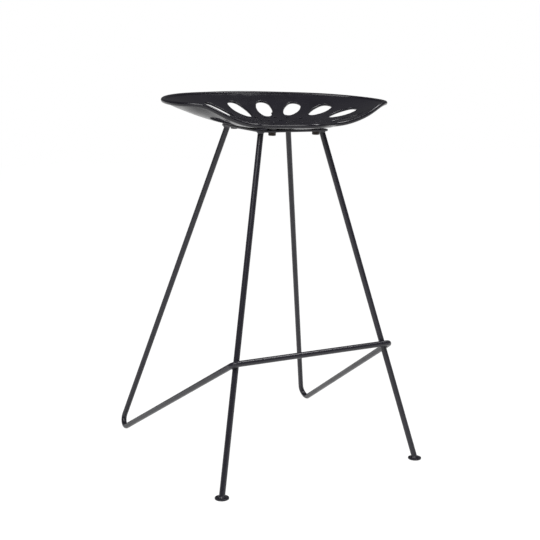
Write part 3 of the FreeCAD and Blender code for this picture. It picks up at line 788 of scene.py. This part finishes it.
def seat():
    rim = rim_rings()
    holes = [petal_rings(number) for number in range(PETALS)] + perforation_rings()
    patches = [rings_patch(rings) for rings in [rim] + holes]
    for row, height in ((0, pan_top), (-1, pan_bottom)):
        points, faces = fill(rim[row][:, :2], [rings[row][:, :2] for rings in holes], SKIN_SPACING)
        loops = np.concatenate([rim[row]] + [rings[row] for rings in holes])
        rest = points[len(loops):]
        lifted = np.column_stack((rest, height(rest[:, 0], rest[:, 1])))
        patches.append((np.concatenate((loops, lifted)), faces))
    patches += [boss_rings(place) for place in bolt_places()]
    placed = [(from_seat(points), faces) for points, faces in patches]
    piece("seat_casting", placed, seat_paint, "seat")


# Studio

def light_path_share(n):
    """1 for what the camera sees directly, in a reflection or through glass."""
    rays = n.add("ShaderNodeLightPath")
    share = rays.outputs["Is Camera Ray"]
    for name in ("Is Glossy Ray", "Is Transmission Ray"):
        larger = n.add("ShaderNodeMath", operation="MAXIMUM")
        n.link(share, larger.inputs[0])
        n.link(rays.outputs[name], larger.inputs[1])
        share = larger.outputs[0]
    return share


def floor():
    """A pale floor that meets the white background without an edge and still takes a faint shadow."""
    n = Nodes("floor_white")
    seen = n.add("ShaderNodeAddShader")
    glow = n.add("ShaderNodeEmission")
    glow.inputs["Color"].default_value = (1.0, 1.0, 1.0, 1.0)
    glow.inputs["Strength"].default_value = FLOOR_GLOW
    thin = n.add("ShaderNodeBsdfDiffuse")
    thin.inputs["Color"].default_value = (FLOOR_SHADE, FLOOR_SHADE, FLOOR_SHADE, 1.0)
    plain = n.add("ShaderNodeBsdfDiffuse")
    plain.inputs["Color"].default_value = (FLOOR_PALE, FLOOR_PALE, FLOOR_PALE, 1.0)
    n.link(glow.outputs[0], seen.inputs[0])
    n.link(thin.outputs[0], seen.inputs[1])
    choose = n.add("ShaderNodeMixShader")
    n.link(light_path_share(n), choose.inputs[0])
    n.link(plain.outputs[0], choose.inputs[1])
    n.link(seen.outputs[0], choose.inputs[2])
    n.link(choose.outputs[0], n.output.inputs["Surface"])
    corners = [(x * FLOOR_HALF, y * FLOOR_HALF, 0) for x, y in ((-1, -1), (1, -1), (1, 1), (-1, 1))]
    mesh = bpy.data.meshes.new("floor")
    mesh.from_pydata(corners, [], [(0, 1, 2, 3)])
    obj = bpy.data.objects.new("floor", mesh)
    bpy.context.scene.collection.objects.link(obj)
    mesh.materials.append(n.material)


def surroundings():
    """A white room to the eye. Reflections see it white below and round the horizon, under a dark ceiling."""
    world = bpy.data.worlds.new("white_room")
    bpy.context.scene.world = world
    world.use_nodes = True
    tree = world.node_tree
    background = tree.nodes["Background"]
    background.inputs["Color"].default_value = (1.0, 1.0, 1.0, 1.0)
    height = tree.nodes.new("ShaderNodeSeparateXYZ")
    tree.links.new(tree.nodes.new("ShaderNodeTexCoord").outputs["Generated"], height.inputs[0])
    ceiling = tree.nodes.new("ShaderNodeMapRange")
    for name, number in (("From Min", -0.02), ("From Max", 0.05), ("To Min", 1.0), ("To Max", CEILING)):
        ceiling.inputs[name].default_value = number
    tree.links.new(height.outputs["Z"], ceiling.inputs["Value"])
    larger = tree.nodes.new("ShaderNodeMath")
    larger.operation = "MAXIMUM"
    tree.links.new(tree.nodes.new("ShaderNodeLightPath").outputs["Is Camera Ray"], larger.inputs[0])
    tree.links.new(ceiling.outputs["Result"], larger.inputs[1])
    tree.links.new(larger.outputs[0], background.inputs["Strength"])


def lamp(name, place, aim, size, power):
    data = bpy.data.lights.new(name, "AREA")
    data.shape = "RECTANGLE"
    data.size, data.size_y = size
    data.energy = power
    obj = bpy.data.objects.new(name, data)
    obj.location = place
    obj.rotation_euler = (Vector(aim) - Vector(place)).to_track_quat("-Z", "Y").to_euler()
    bpy.context.scene.collection.objects.link(obj)


camera()
front_legs()
footrest_welds(long_bar())
feet()
mounting_plate()
hardware_pieces()
seat()
slots = {part["node"]: part["material_slot"] for part in frame["record"]["subparts"]}
for name, node in frame["nodes"].items():
    node.data.materials.clear()
    node.data.materials.append(SLOT_PAINT[slots[name]])

floor()
surroundings()
for row in LAMPS:
    lamp(*row)
bpy.context.scene.view_settings.view_transform = "Standard"
